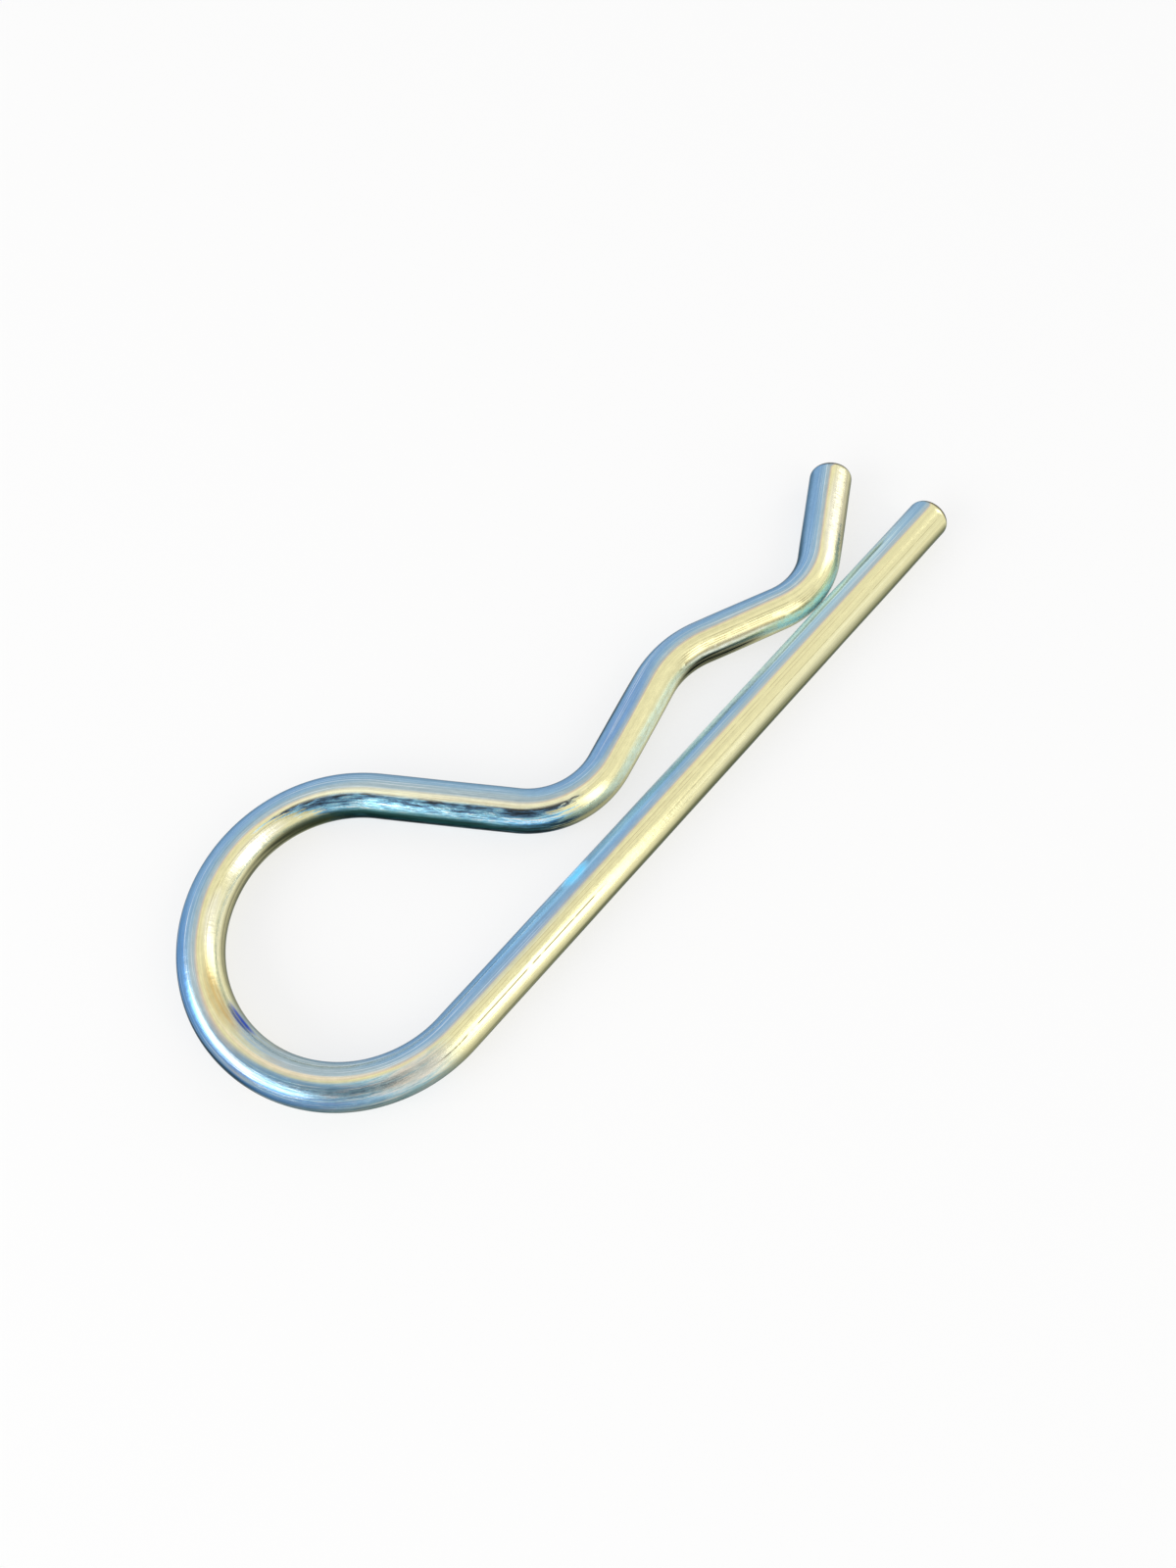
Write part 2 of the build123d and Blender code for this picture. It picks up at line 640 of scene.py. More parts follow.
    def material(self, path: WirePath) -> bpy.types.Material:
        """Builds the finish.

        Args:
            path: the wire's centreline, which places what lies on one run.

        Returns:
            The material.
        """
        material = bpy.data.materials.new("zinc_passivate")
        material.use_nodes = True
        tree = ShaderTree(material.node_tree)
        skin = WireSkin(tree, path)
        marks = self._marks(skin)
        bump = tree.node("Bump", None, {"Strength": 1.0, "Distance": MICROMETRE,
                                        "Height": self._height(skin, marks)})
        surface = tree.node("BsdfPrincipled", None, {
            "Base Color": self._colour(skin, marks), "Metallic": 1.0 - marks.dull_painted_light_and_scuff,
            "Roughness": self._roughness(skin, marks), "Normal": tree.value(bump),
            "Specular Tint": rgba(self.grazing)})
        tree.node("OutputMaterial", None, {"Surface": tree.value(surface)})
        return material

    def _marks(self, skin: WireSkin) -> Marks:
        """Lays out the patterns.

        Streaks and hairs run along the wire, as drawing leaves them. The plate is coarser on the dark side
        of the slope and of the loop's start, where its grains are drawn out along the wire, and its colours
        there carry painted dark reflection and painted glints.

        Args:
            skin: the wire's attributes.

        Returns:
            The patterns.
        """
        tree, place = skin.tree, skin.place
        first, _ = skin.ends(Run.LOOP)
        low, high = skin.ends(Run.SLOPE)
        start = (tree.window(skin.arc, first + 4.0, first + 15.0, 4.0)
                 * tree.between(skin.drip_lean, -0.08, 0.08))
        hairs = tree.noise(place, (0.05, 6.0, 6.0), detail=3.0, roughness=0.65, shift=9.0)
        grains = tree.noise(place, (0.45, 4.4, 4.4), detail=5.0, roughness=0.74, shift=17.0)
        ragged = skin.arc + (hairs - 0.5) * 7.0 + (grains - 0.5) * 12.0
        wedge = tree.between((ragged - (low - 10.0)) * 0.14 + 0.25 - skin.drip_lean, 0.0, 0.25)
        slope = wedge * tree.between(ragged, high + 4.6, high + 3.4)
        dull_painted_light_and_scuff = sum(skin.patch(patch) * patch.strength for patch in self.painted_light_and_scuffs).math("MINIMUM", 1.0)
        return Marks(
            streaks=tree.noise(place, (0.05, 2.6, 2.6), detail=4.0, roughness=0.62),
            hairs=hairs,
            mottle=tree.noise(place, (1.4, 3.2, 3.2), detail=4.0, roughness=0.6, shift=7.0),
            grains=grains,
            slope=slope,
            dull_painted_light_and_scuff=dull_painted_light_and_scuff,
            calm=1.0 - tree.between(skin.arc, *self.calm_reaches),
            coarse=slope * tree.between(skin.drip_lean, 0.16, 0.26) + start * 0.75)

    def _colour(self, skin: WireSkin, marks: Marks) -> Value:
        """Works out the colour: film tint and plate, then oval marks, drawing lines, painted shade on the
        low dark side and the steep blue side, and bare ends.

        Args:
            skin: the wire's attributes.
            marks: the patterns.

        Returns:
            The colour.
        """
        tree = skin.tree
        drift = tree.noise(skin.place, (0.09, 0.5, 0.5), shift=3.0)
        # Film tint: thickness by how the skin faces, straw towards the picture's right and blue away; the
        # tints are the passivate's own, their sides a painted reflection of warm and blue light
        thickness = skin.film + (drift - 0.5) * 0.10 + (marks.streaks - 0.5) * 0.09
        colour = tree.ramp(thickness * 0.5 + 0.5, self.film_stops())
        # Coarse plate over the film tint, with painted dark reflection in its pits and painted glints on
        # its peaks
        colour = tree.mix(marks.coarse * 0.95, colour, self._plate_and_painted_reflection(skin, marks))
        ragged = tree.between(marks.hairs * 0.5 + marks.streaks * 0.5, 0.40, 0.54) * 0.6 + 0.5
        # Oval tints, some of them painted highlights, reflections and shade
        for patch in self.tints_and_painted_light:
            colour = tree.mix(skin.patch(patch) * ragged * patch.strength, colour, patch.colour)
        speckle = tree.between(marks.mottle, 0.40, 0.54) * 0.5 + 0.5
        # Painted light, highlights and reflections, and one scuff, on dull ovals
        for patch in self.painted_light_and_scuffs:
            colour = tree.mix(skin.patch(patch) * speckle, colour, patch.colour)
        scoured = tree.between(marks.hairs, 0.56, 0.65) * tree.between(thickness, 0.12, 0.30)
        colour = tree.mix(scoured * 0.5, colour, self.scoured)
        lines = tree.grey(marks.streaks * 0.40 + marks.hairs * 0.50 + marks.mottle * 0.35 + 0.375)
        colour = tree.mix(0.9 - marks.calm * 0.5, colour, lines, "MULTIPLY")
        broken = tree.between(tree.noise(skin.place, (0.9, 1.0, 1.0), detail=3.0, shift=11.0), 0.30, 0.50)
        for line in self.die_lines:
            colour = tree.mix(skin.line(line) * broken * line.strength, colour, line.colour)
        # Painted shade: darker on the low dark side and the steep blue side, standing for dark reflections
        pooled = tree.between(skin.pooled + (marks.streaks - 0.5) * 0.5, 0.1, 0.9)
        colour = tree.mix(pooled, colour, self.pooled, "MULTIPLY")
        colour = tree.mix(tree.between(skin.sheared, 0.0, 0.18) * 0.85, colour, self.rim)
        return tree.mix(tree.between(skin.sheared, 0.70, 0.95), colour, self.bare)

    def _plate_and_painted_reflection(self, skin: WireSkin, marks: Marks) -> Value:
        """Works out the coarse plate's colour: its grains, in lighter and darker stripes on the slope by
        how the skin faces the dark side; the stripes and the grains' navy pits are painted reflection and
        painted shade, and the light grains painted glints.

        Args:
            skin: the wire's attributes.
            marks: the patterns.

        Returns:
            The colour.
        """
        tree, lean = skin.tree, skin.drip_lean
        low, high = skin.ends(Run.SLOPE)
        # Painted reflection stripes: lighter and darker by how the skin faces the dark side, and darker at
        # the slope's ends
        painted_reflection_bands = (tree.window(lean, 0.62, 0.76, 0.06) * 0.05
                 - tree.window(lean, 0.20, 0.36, 0.06) * 0.07
                 - tree.between(lean, 0.78, 0.88) * 0.12
                 - tree.window(skin.arc, low - 9.0, low - 5.0, 1.5) * 0.06
                 - tree.window(skin.arc, high, high + 4.0, 1.5) * tree.between(lean, 0.6, 0.4) * 0.09)
        lightness = marks.grains + painted_reflection_bands * marks.slope + (1.0 - marks.slope) * 0.09
        return tree.ramp(lightness, self.grain_and_reflection_stops())

    def _height(self, skin: WireSkin, marks: Marks) -> Value:
        """Works out the relief: drawing lines, coarse plate, scratches across the wire and shear marks.

        Args:
            skin: the wire's attributes.
            marks: the patterns.

        Returns:
            The height in micrometres.
        """
        tree = skin.tree
        chatter = tree.noise(skin.place, (2.2, 0.35, 0.35), detail=3.0, roughness=0.6, shift=21.0)
        worn = tree.between(tree.noise(skin.place, (0.10, 0.5, 0.5), shift=23.0), 0.50, 0.66)
        first, last = skin.ends(Run.LOOP)
        formed = tree.window(skin.arc, first + 26.0, last - 11.0, 3.0)
        marked = (skin.run(Run.FLARE, 1.0) * tree.between(skin.lift, 0.6, 1.4) * self.flare_scratches
                  + skin.run(Run.LEG, 2.0) * worn * self.worn_scratches + formed * self.worn_scratches)
        shear = tree.noise(skin.place, (1.0, 0.7, 9.0), detail=3.0, shift=29.0)
        drawn = (marks.streaks - 0.5) * self.streak_relief + (marks.hairs - 0.5) * self.hair_relief
        return (drawn * (1.0 - marks.calm * 0.5) + (marks.mottle - 0.5) * self.mottle_relief
                + (marks.grains - 0.5) * marks.coarse * self.grain_relief + (chatter - 0.5) * marked
                + (shear - 0.5) * skin.sheared * self.shear_relief)

    def _roughness(self, skin: WireSkin, marks: Marks) -> Value:
        """Roughness: uneven, and duller on the loop, on the dull ovals of painted light and the scuff,
        sheared ends and stretched bends.
        """
        uneven = (marks.mottle - 0.5) * 0.12 + (marks.streaks - 0.5) * 0.12
        return (self.roughness + uneven + skin.run(Run.LOOP, 3.0) * 0.05 + marks.dull_painted_light_and_scuff * 0.25
                + skin.sheared * 0.2 + skin.stretch * 0.04)


@dataclass(frozen=True)
class TintAndShadeSides:
    """Level directions from the picture's axes: the film tint's straw side and its thick blue side, which
    stand for a painted reflection of warm and blue light, and the dark side, towards the camera, where
    painted shade goes.
    """

    straw: np.ndarray
    away: np.ndarray
    dark_side: np.ndarray

    @classmethod
    def from_picture(cls, right: Vector, away: Vector) -> "TintAndShadeSides":
        """Takes the directions from the picture's axes on the floor."""
        # The dark side: towards the camera and a little right, where painted shade and the plate's painted
        # dark reflection go
        dark_side = (0.26 * right - 0.97 * away).normalized()
        return cls(np.array(right), np.array(away), np.array(dark_side))

    def film(self, normals: np.ndarray) -> np.ndarray:
        """How thick the film is: less where the skin faces the straw side, the picture's right, and more
        where it faces away. The tints are the passivate's own, but which side is straw and which blue is a
        painted reflection of warm light on the right and blue light away.
        """
        return normals @ (0.75 * self.away - 1.3 * self.straw)

    @staticmethod
    def _above(up: np.ndarray) -> np.ndarray:
        """1 where a normal's height is over -0.1, falling to 0 at -0.6 on the underside."""
        return np.clip((up + 0.6) / 0.5, 0.0, 1.0)

    def dark_side_shade(self, normals: np.ndarray) -> np.ndarray:
        """Works out where painted shade goes: low on the dark side, standing for the dark reflections
        there.

        The share grows with the lean d = 0.75 * (normal on the dark side) - 0.65 * (normal up), from 0 at
        d = 0.05 to 1 at d = 0.45, and fades out on the underside.

        Args:
            normals: the skin's normals.

        Returns:
            The share at each normal, from 0 to 1.
        """
        up = normals[:, 2]
        lean = 0.75 * (normals @ self.dark_side) - 0.65 * up
        return np.clip((lean - 0.05) / 0.40, 0.0, 1.0) * self._above(up)

    def flank_shade(self, normals: np.ndarray) -> np.ndarray:
        """Works out where painted shade goes on the steep blue side, standing for the dark reflections at
        its edge.

        The share grows from 0 where the normal's height is 0.72 to 1 at 0.45, and fades out underneath.

        Args:
            normals: the skin's normals.

        Returns:
            The share at each normal, from 0 to 1.
        """
        up = normals[:, 2]
        steep = np.clip((0.72 - up) / 0.27, 0.0, 1.0) * self._above(up)
        return steep * np.clip(-2.0 * (normals @ self.straw), 0.0, 1.0)


@dataclass(frozen=True)
class FilmAndShadeSpot:
    """How the film's tint and the painted shade go at one place along the wire: how much thicker the film
    is, and how strong the painted shade is on two kinds of side.

    Its share places it on its run. The first shade is for the low dark side, and the second for the steep
    blue side.
    """

    run: Run
    share: float
    thicker: float
    dark_side_shade: float
    flank_shade: float


# Film thickening and painted shade along the wire: run, share, thickening, shade on the low dark side,
# shade on the steep blue side
FILM_AND_SHADE_SPOTS = (
    FilmAndShadeSpot(Run.LEG, 0.25, 0.00, 0.66, 0.00), FilmAndShadeSpot(Run.LEG, 0.48, 0.00, 0.78, 0.00),
    FilmAndShadeSpot(Run.LEG, 0.70, 0.00, 0.66, 0.10), FilmAndShadeSpot(Run.LEG, 0.82, 0.00, 0.66, 0.15),
    FilmAndShadeSpot(Run.LEG, 0.98, 0.00, 0.60, 0.10), FilmAndShadeSpot(Run.LOOP, 0.15, -0.02, 0.60, 0.00),
    FilmAndShadeSpot(Run.LOOP, 0.40, 0.12, 0.50, 0.80), FilmAndShadeSpot(Run.LOOP, 0.60, 0.35, 0.35, 0.50),
    FilmAndShadeSpot(Run.LOOP, 0.75, 0.32, 0.50, 0.80), FilmAndShadeSpot(Run.LOOP, 0.92, 0.26, 0.90, 0.40),
    FilmAndShadeSpot(Run.SLOPE, 0.50, 0.23, 1.00, 0.30), FilmAndShadeSpot(Run.NECK, 0.50, 0.20, 0.60, 0.40),
    FilmAndShadeSpot(Run.RISE, 0.50, 0.21, 0.00, 1.00), FilmAndShadeSpot(Run.SEAT, 0.50, 0.16, 0.45, 0.40),
    FilmAndShadeSpot(Run.FALL, 0.30, 0.14, 0.32, 0.30), FilmAndShadeSpot(Run.FALL, 0.85, 0.10, 0.20, 0.40),
    FilmAndShadeSpot(Run.MOUTH, 0.50, 0.05, 0.00, 0.80), FilmAndShadeSpot(Run.FLARE, 0.50, 0.02, 0.30, 0.40))


@dataclass
class ClipWire:
    """The bent wire: sizes in metres, slopes of its straights in degrees, and how its mesh is made.

    A normal that leans along the wire by the first shear lean, in radians, starts a sheared end, and the
    second is its face.
    """

    radius: float
    loop_centre: tuple[float, float]
    seat_height: float
    tip: float
    sides: TintAndShadeSides
    neck_gap: float = 0.0020
    neck_inside_radius: float = 0.0059
    seat_inside_radius: float = 0.0077
    mouth_gap: float = 0.0001
    mouth_inside_radius: float = 0.0054
    flare_length: float = 0.0102
    neck_slope: float = 55.7
    seat_rise: float = 14.0
    seat_fall: float = 23.3
    flare_angle: float = 30.4
    end_edge_radius: float = 0.0010
    bend_ease: float = 0.0030
    tight_bend: float = 0.0074
    oval: float = 0.00003
    wave_height: float = 0.000024
    wave_pitches: tuple[float, float] = (0.005, 0.022)
    wave_lobes: int = 5
    wave_seed: int = 4
    waves: int = 16
    shear_leans: tuple[float, float] = (0.3, 1.5)
    rows: int = 1150
    spokes: int = 72
    edge_rows: int = 12
    face_rows: int = 5
    path: WirePath = field(init=False)

    def __post_init__(self) -> None:
        """Lays the centreline."""
        self.path = self._centreline()

    @classmethod
    def from_frame(cls, frame: Mapping[str, Any], sides: TintAndShadeSides) -> "ClipWire":
        """Takes the wire's radius, loop, seat and tip from the frame.

        Args:
            frame: the loaded frame.
            sides: the directions that the film's tint and the painted shade follow.

        Returns:
            The wire.
        """
        mounts = {mount["name"]: mount for mount in frame["record"]["mounts"]}
        return cls(radius=mounts["straight_leg"]["dims"]["r_mm"] / MILLIMETRES,
                   loop_centre=tuple(mounts["pull_loop"]["pos_m"][:2]),
                   seat_height=mounts["shaft_seat"]["pos_m"][1],
                   tip=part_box(WIRE_NODE)[1].x, sides=sides)

    def _centreline(self) -> WirePath:
        """Lays the runs from the straight tip to the flared tip.

        Each bend has a level point, at a known height over the straight leg. A straight between two
        opposite bends, at slope a, is (climb - (sum of radii) * (1 - cos a)) / sin a long, to meet both.

        Returns:
            The centreline.
        """
        loop_x, loop = self.loop_centre
        neck, seat, mouth = (inside + self.radius for inside in (
            self.neck_inside_radius, self.seat_inside_radius, self.mouth_inside_radius))
        heights = np.array([2 * loop, 2 * self.radius + self.neck_gap, self.seat_height + self.radius,
                            2 * self.radius + self.mouth_gap])
        slope, rise, fall, flare = np.radians(
            [self.neck_slope, self.seat_rise, self.seat_fall, self.flare_angle])
        leans = np.array([slope, rise, fall])
        radii = np.array([loop + neck, neck + seat, seat + mouth])
        straights = (np.abs(np.diff(heights)) - radii * (1 - np.cos(leans))) / np.sin(leans)
        bends = np.array([-(np.pi + slope), slope + rise, -(rise + fall), fall + flare])
        bend_lengths = np.abs(bends) * np.array([loop, neck, seat, mouth])
        lengths = np.stack([bend_lengths, np.append(straights, self.flare_length)], axis=1).ravel()
        turns = np.stack([bends, np.zeros_like(bends)], axis=1).ravel()
        leg = self.tip - loop_x
        return WirePath((self.tip, 0.0), np.pi, np.append(leg, lengths), np.append(0.0, turns))

    def _rows(self) -> tuple[np.ndarray, np.ndarray, np.ndarray]:
        """Rows of the skin from one end face to the other.

        The face's rings grow to the radius less the edge. The edge is a quarter round: at angle p its ring
        is (radius - edge) + edge * sin p wide, and lies edge * (1 - cos p) in from the face.

        Returns:
            Each row's distance along the wire, its ring's radius, and how far its normal leans along the
            wire, as an angle, negative at the near end.
        """
        lean = np.linspace(0.0, np.pi / 2, self.edge_rows)
        inner = self.radius - self.end_edge_radius
        face = np.linspace(0.0, inner, self.face_rows + 1)[1:-1]
        rings = np.concatenate([face, inner + self.end_edge_radius * np.sin(lean)])
        depths = np.concatenate([np.zeros_like(face), self.end_edge_radius * (1 - np.cos(lean))])
        leans = np.concatenate([np.zeros_like(face), lean]) - np.pi / 2
        body = np.linspace(self.end_edge_radius, self.path.length - self.end_edge_radius, self.rows)[1:-1]
        arcs = np.concatenate([depths, body, self.path.length - depths[::-1]])
        radii = np.concatenate([rings, np.full_like(body, self.radius), rings[::-1]])
        return arcs, radii, np.concatenate([leans, np.zeros_like(body), -leans[::-1]])

    def build(self) -> bpy.types.Object:
        """Carries the round section along the centreline and closes both ends.

        A point of the skin is centre + ring * (cos a * left + sin a * up), where a goes round the wire from
        the left of its heading.

        Returns:
            The wire's object.
        """
        arcs, radii, leans = self._rows()
        centres, headings = self.path.at(arcs)
        angles = np.linspace(-np.pi, np.pi, self.spokes, endpoint=False)
        ahead = np.stack([np.cos(headings), np.sin(headings), np.zeros_like(headings)], axis=-1)
        left = np.stack([-ahead[:, 1], ahead[:, 0], np.zeros_like(headings)], axis=-1)
        radial = (np.cos(angles)[None, :, None] * left[:, None, :]
                  + np.sin(angles)[None, :, None] * np.array([0.0, 0.0, 1.0]))
        base = np.concatenate([centres, np.zeros((len(arcs), 1))], axis=1)
        bend = self.path.curvature(arcs, self.bend_ease) * self.tight_bend
        rings = radii[:, None] + self._unevenness(arcs, angles, bend) * (radii / self.radius)[:, None]
        points = base[:, None, :] + rings[:, :, None] * radial
        normals = np.cos(leans)[:, None, None] * radial + np.sin(leans)[:, None, None] * ahead[:, None, :]
        outward = np.concatenate([normals.reshape(-1, 3), [-ahead[0], ahead[-1]]])
        mesh = bpy.data.meshes.new("zinc_clip_wire")
        mesh.from_pydata(np.concatenate([points.reshape(-1, 3), base[[0, -1]]]), [], self._faces(len(arcs)))
        mesh.polygons.foreach_set("use_smooth", np.ones(len(mesh.polygons), bool))
        unbent = np.stack([np.broadcast_to(arcs[:, None], points.shape[:2]),
                           radii[:, None] * np.cos(angles), radii[:, None] * np.sin(angles)], axis=-1)
        end_places = np.array([[0.0, 0.0, 0.0], [self.path.length, 0.0, 0.0]])
        self._store(mesh, Skin.UNBENT, np.concatenate([unbent.reshape(-1, 3), end_places]) * MILLIMETRES)
        self._store_film_and_shade(mesh, arcs, outward)
        stretch = np.maximum(-bend[:, None] * np.cos(angles), 0.0)
        self._store(mesh, Skin.STRETCH, np.append(stretch.ravel(), [0.0, 0.0]))
        sheared = np.interp(np.abs(leans), self.shear_leans, (0.0, 1.0))
        self._store(mesh, Skin.SHEARED, np.append(np.repeat(sheared, self.spokes), [1.0, 1.0]))
        piece = bpy.data.objects.new("zinc_clip_wire", mesh)
        bpy.context.scene.collection.objects.link(piece)
        return piece

    def _store_film_and_shade(self, mesh: bpy.types.Mesh, arcs: np.ndarray, outward: np.ndarray) -> None:
        """Keeps the film's tint by facing, the painted shade that stands for dark reflections on the low
        dark side and the steep blue side, and the lean to the dark side.

        Args:
            mesh: the wire's mesh.
            arcs: distances of the rows along the wire.
            outward: the vertices' normals.
        """
        thicker, dark_side_shade, flank_shade = self._film_and_shade_along(arcs)
        # Painted shade: the stronger of the low dark side's and the steep blue side's
        pooled = np.maximum(dark_side_shade * self.sides.dark_side_shade(outward), flank_shade * self.sides.flank_shade(outward))
        # Film tint by facing: which side is straw and which blue is a painted reflection of warm and blue
        # light
        self._store(mesh, Skin.FILM, self.sides.film(outward) + thicker)
        self._store(mesh, Skin.PAINTED_SHADE, pooled)
        self._store(mesh, Skin.DARK_SIDE_LEAN, outward @ self.sides.dark_side)

    def _film_and_shade_along(self, arcs: np.ndarray) -> np.ndarray:
        """Reads the film's thickening and the painted shade's strengths along the wire, between the spots
        at which they are given.

        Args:
            arcs: distances of the rows along the wire.

        Returns:
            The thickening and the painted shade on the low dark side and on the steep blue side, each for
            every vertex.
        """
        places = [self.path.place(spot.run, spot.share) for spot in FILM_AND_SHADE_SPOTS]
        known = np.array([(spot.thicker, spot.dark_side_shade, spot.flank_shade) for spot in FILM_AND_SHADE_SPOTS]).T
        along = np.stack([np.interp(arcs, places, row) for row in known])
        return np.concatenate([np.repeat(along, self.spokes, axis=1), along[:, [0, -1]]], axis=1)

    def _unevenness(self, arcs: np.ndarray, angles: np.ndarray, bend: np.ndarray) -> np.ndarray:
        """How far the skin stands off a true round.

        A bend squeezes the section flatter in the bend's plane: by -oval * |bend| * cos 2a. Drawing leaves
        a slight wave, which is the mean of cosines of (k * arc + m * a + phase) with whole m.

        Args:
            arcs: distances along the wire.
            angles: angles round it.
            bend: curvature along it, 1 at the tightest bend.

        Returns:
            The stand-off at each row and angle.
        """
        chance = np.random.default_rng(self.wave_seed)
        pitch = 2 * np.pi / chance.uniform(*self.wave_pitches, self.waves)
        lobes = chance.integers(0, self.wave_lobes, self.waves)
        phase = chance.uniform(0, 2 * np.pi, self.waves)
        wave = np.cos(arcs[:, None, None] * pitch + angles[None, :, None] * lobes + phase).mean(axis=-1)
        return self.wave_height * wave - self.oval * np.abs(bend)[:, None] * np.cos(2 * angles)

    def _faces(self, rows: int) -> list[list[int]]:
        """Joins the rows with quads, wound to face outwards, and fans out from the centre of each end.

        Args:
            rows: how many rows there are.

        Returns:
            The faces' corners.
        """
        ring = np.arange(self.spokes)
        after = np.roll(ring, -1)
        start = (np.arange(rows - 1) * self.spokes)[:, None]
        quads = np.stack([start + ring, start + after, start + self.spokes + after,
                          start + self.spokes + ring], axis=-1).reshape(-1, 4)
        first, last = rows * self.spokes, rows * self.spokes + 1
        far = (rows - 1) * self.spokes
        near_fan = np.stack([np.full_like(ring, first), after, ring], axis=-1)
        far_fan = np.stack([np.full_like(ring, last), far + ring, far + after], axis=-1)
        return quads.tolist() + near_fan.tolist() + far_fan.tolist()

    @staticmethod
    def _store(mesh: bpy.types.Mesh, skin: Skin, values: np.ndarray) -> None:
        """Keeps a number or a vector on every vertex.

        Args:
            mesh: the wire's mesh.
            skin: the attribute's name.
            values: one number or vector for each vertex.
        """
        kind, key = ("FLOAT_VECTOR", "vector") if values.ndim == 2 else ("FLOAT", "value")
        attribute = mesh.attributes.new(skin.value, kind, "POINT")
        attribute.data.foreach_set(key, values.astype(np.float32).ravel())

    def dress(self, piece: bpy.types.Object, finish: ZincPassivate) -> None:
        """Gives the wire its finish and puts it in its node's place.

        Args:
            piece: the wire's object.
            finish: its finish.
        """
        piece.data.materials.append(finish.material(self.path))
        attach(piece, WIRE_BODY)
        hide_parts(WIRE_NODE)


@dataclass(frozen=True)
class ViewPoint:
    """Where the camera stands over the clip, and how it is turned: about Z, then its own lean and tilt."""

    place: tuple[float, float, float] = (-0.03979, -0.02284, 0.09540)
    turn: float = -48.32
    lean: float = 2.60
    tilt: float = 22.30
    lens: float = 27.0
    sensor: float = 36.0
    nearest: float = 0.005
    farthest: float = 20.0

    def rotation(self) -> Matrix:
        """Works out the camera's axes in the frame.

        Returns:
            Their rotation.
        """
        turns = ((self.turn, "Z"), (self.lean, "Y"), (self.tilt, "X"))
        about_z, about_y, about_x = (Matrix.Rotation(math.radians(angle), 4, axis) for angle, axis in turns)
        return about_z @ about_y @ about_x

    def picture_axes(self) -> tuple[Vector, Vector]:
        """Finds the picture's axes on the floor.

        Returns:
            The directions to the picture's right, and away from the camera.
        """
        right = self.rotation().to_3x3() @ Vector((1.0, 0.0, 0.0))
        right = Vector((right.x, right.y, 0.0)).normalized()
        return right, Vector((-right.y, right.x, 0.0))

    def build(self) -> bpy.types.Object:
        """Adds the camera and makes it the scene's.

        Returns:
            The camera's object.
        """
        data = bpy.data.cameras.new("camera")
        data.lens, data.sensor_width, data.sensor_fit = self.lens, self.sensor, "AUTO"
        data.clip_start, data.clip_end = self.nearest, self.farthest
        camera = bpy.data.objects.new("camera", data)
        camera.matrix_world = Matrix.Translation(self.place) @ self.rotation()
        bpy.context.scene.collection.objects.link(camera)
        bpy.context.scene.camera = camera
        return camera


def aim(azimuth: float, elevation: float, right: Vector, away: Vector) -> Vector:
    """Works out a direction from the clip.

    Args:
        azimuth: its turn in degrees, from the picture's right and away from the camera.
        elevation: its height in degrees over the floor.
        right: the picture's right, on the floor.
        away: the picture's away direction, on the floor.

    Returns:
        The direction, of length 1.
    """
    turn, rise = math.radians(azimuth), math.radians(elevation)
    level = math.cos(turn) * right + math.sin(turn) * away
    return math.cos(rise) * level + Vector((0.0, 0.0, math.sin(rise)))


@dataclass(frozen=True)
class Softbox:
    """A rectangular lamp that faces the clip.

    Its azimuth is counted from the picture's right, away from the camera, and its width and height are
    angles as the clip sees them.
    """

    name: str
    azimuth: float
    elevation: float
    width: float
    height: float
    radiance: float
    distance: float = 0.8

    def hang(self, right: Vector, away: Vector) -> bpy.types.Object:
        """Adds the lamp, at a power of radiance * pi * area.

        Args:
            right: the picture's right, on the floor.
            away: the picture's away direction, on the floor.

        Returns:
            The lamp's object.
        """
        outward = aim(self.azimuth, self.elevation, right, away)
        across = Vector((0.0, 0.0, 1.0)).cross(outward).normalized()
        data = bpy.data.lights.new(self.name, "AREA")
        data.shape = "RECTANGLE"
        data.size, data.size_y = (2 * self.distance * math.tan(math.radians(angle / 2))
                                  for angle in (self.width, self.height))
        data.energy = self.radiance * math.pi * data.size * data.size_y
        lamp = bpy.data.objects.new(self.name, data)
        axes = Matrix((across, outward.cross(across), outward)).transposed().to_4x4()
        lamp.matrix_world = Matrix.Translation(outward * self.distance) @ axes
        lamp.visible_camera = False
        bpy.context.scene.collection.objects.link(lamp)
        return lamp


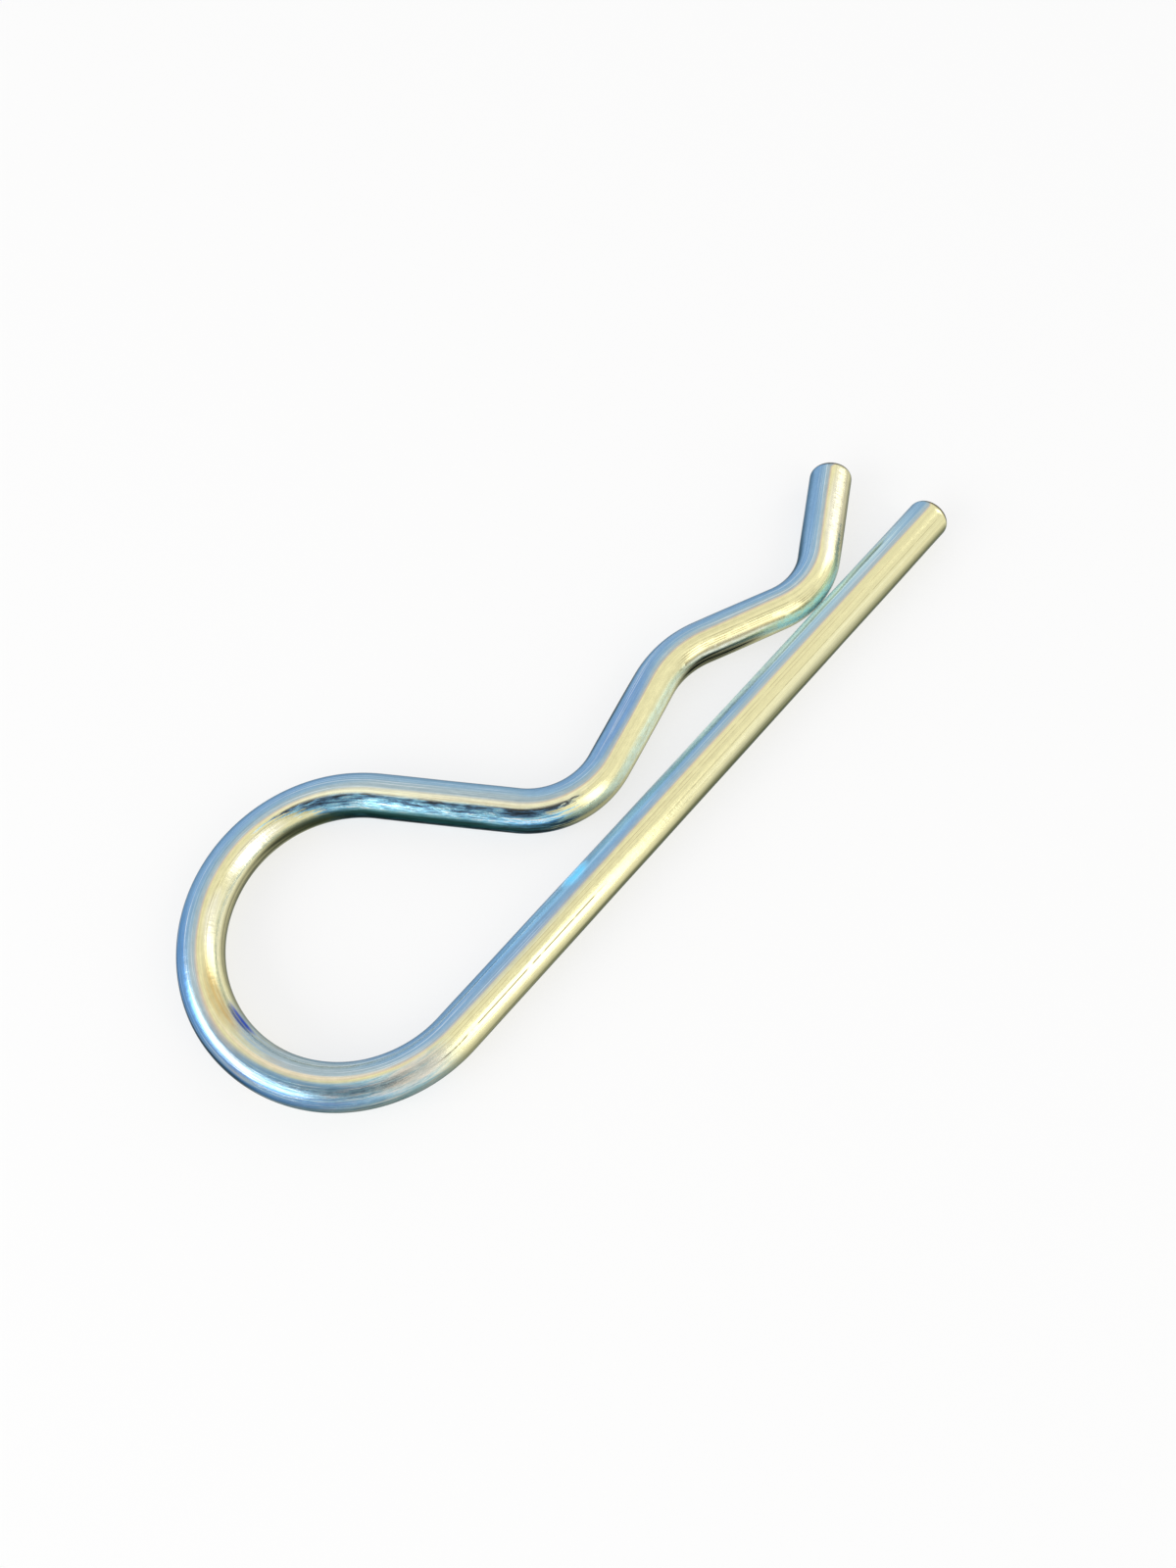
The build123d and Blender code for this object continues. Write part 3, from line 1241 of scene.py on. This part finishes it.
@dataclass(frozen=True)
class Studio:
    """The pale floor, the soft lamps and the plain surroundings."""

    floor_height: float
    right: Vector
    away: Vector
    floor_size: float = 6.0
    floor_colour: Colour = (0.82, 0.815, 0.81)
    floor_glow: Colour = (1.0, 1.0, 1.0)
    glow_share: float = 0.7
    lamps: tuple[Softbox, ...] = (
        Softbox("left_window", -148.0, 28.0, 54.0, 26.0, 3.6),
        Softbox("near_window", -37.0, 28.0, 17.0, 50.0, 1.5),
        Softbox("right_window", 29.0, 25.0, 20.0, 38.0, 1.25),
    )
    dome: tuple[tuple[float, Colour], ...] = (
        (0.50, (0.94, 0.94, 0.94)), (0.60, (0.90, 0.91, 0.92)),
        (0.90, (0.92, 0.92, 0.91)), (1.00, (0.90, 0.90, 0.89)),
    )
    front: Colour = (0.20, 0.22, 0.25)
    front_azimuth: float = -106.0
    front_elevation: float = 47.0
    front_reach: tuple[float, float] = (28.0, 20.0)

    def build(self) -> None:
        """Adds the floor, the lamps and the world."""
        self._floor()
        for lamp in self.lamps:
            lamp.hang(self.right, self.away)
        self._world()
        bpy.context.scene.view_settings.view_transform = "Standard"

    def _floor(self) -> bpy.types.Object:
        """Lays a flat pale square under the clip.

        The picture and the clip's reflections see it partly lit, with the clip's shadow, and partly as
        plain white.

        Returns:
            The floor's object.
        """
        half = self.floor_size / 2
        square = np.array([[-half, -half], [half, -half], [half, half], [-half, half]])
        mesh = bpy.data.meshes.new("floor")
        mesh.from_pydata(np.column_stack([square, np.full(4, self.floor_height)]), [], [[0, 1, 2, 3]])
        material = bpy.data.materials.new("pale_floor")
        material.use_nodes = True
        tree = ShaderTree(material.node_tree)
        light_path = tree.node("LightPath")
        camera, glossy, transmission = (tree.value(light_path, "Is %s Ray" % kind)
                                        for kind in ("Camera", "Glossy", "Transmission"))
        seen = camera.math("MAXIMUM", glossy).math("MAXIMUM", transmission)
        paper = tree.node("BsdfPrincipled", None, {
            "Base Color": rgba(self.floor_colour), "Roughness": 0.7, "Specular IOR Level": 0.2})
        glow = tree.node("Emission", None, {"Color": rgba(self.floor_glow), "Strength": 1.0})
        surface = tree.node("MixShader", None, {
            0: seen * self.glow_share, 1: tree.value(paper), 2: tree.value(glow)})
        tree.node("OutputMaterial", None, {"Surface": tree.value(surface)})
        mesh.materials.append(material)
        floor = bpy.data.objects.new("floor", mesh)
        bpy.context.scene.collection.objects.link(floor)
        floor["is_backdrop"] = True
        return floor

    def _world(self) -> None:
        """Adds plain surroundings: an even pale dome, with one dark area in front and above."""
        world = bpy.data.worlds.new("studio")
        world.use_nodes = True
        bpy.context.scene.world = world
        tree = ShaderTree(world.node_tree)
        direction = tree.value(tree.node("TexCoord"), "Generated")
        height = tree.value(tree.node("SeparateXYZ", None, {"Vector": direction}), "Z")
        towards = aim(self.front_azimuth, self.front_elevation, self.right, self.away)
        cosine = tree.node("VectorMath", {"operation": "DOT_PRODUCT"}, {0: direction, 1: towards})
        outside, inside = (math.cos(math.radians(angle)) for angle in self.front_reach)
        dark = tree.between(tree.value(cosine, "Value"), outside, inside)
        colour = tree.mix(dark, tree.ramp(height * 0.5 + 0.5, self.dome), self.front)
        background = tree.node("Background", None, {"Color": colour})
        tree.node("OutputWorld", None, {"Surface": tree.value(background)})


def plain(box: Sequence[Vector]) -> list[list[float]]:
    """A box's two corners as plain lists."""
    return [[float(x) for x in corner] for corner in box]


def main() -> None:
    """Builds the clip on the frame, then the studio and the camera."""
    logging.basicConfig(level=logging.INFO, format="%(name)s: %(message)s")
    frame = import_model()
    cad_box = plain(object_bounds())
    view = ViewPoint()
    view.build()
    right, away = view.picture_axes()
    clip = ClipWire.from_frame(frame, TintAndShadeSides.from_picture(right, away))
    piece = clip.build()
    clip.dress(piece, ZincPassivate())
    wire_length = clip.path.length * MILLIMETRES
    LOG.info("%s: %d faces, %.1f mm of wire", piece.name, len(piece.data.polygons), wire_length)
    Studio(cad_box[0][2], right, away).build()
    LOG.info("studio: floor at %.1f mm, %d lamps", cad_box[0][2] * MILLIMETRES, len(Studio.lamps))


if __name__ == "__main__":
    main()
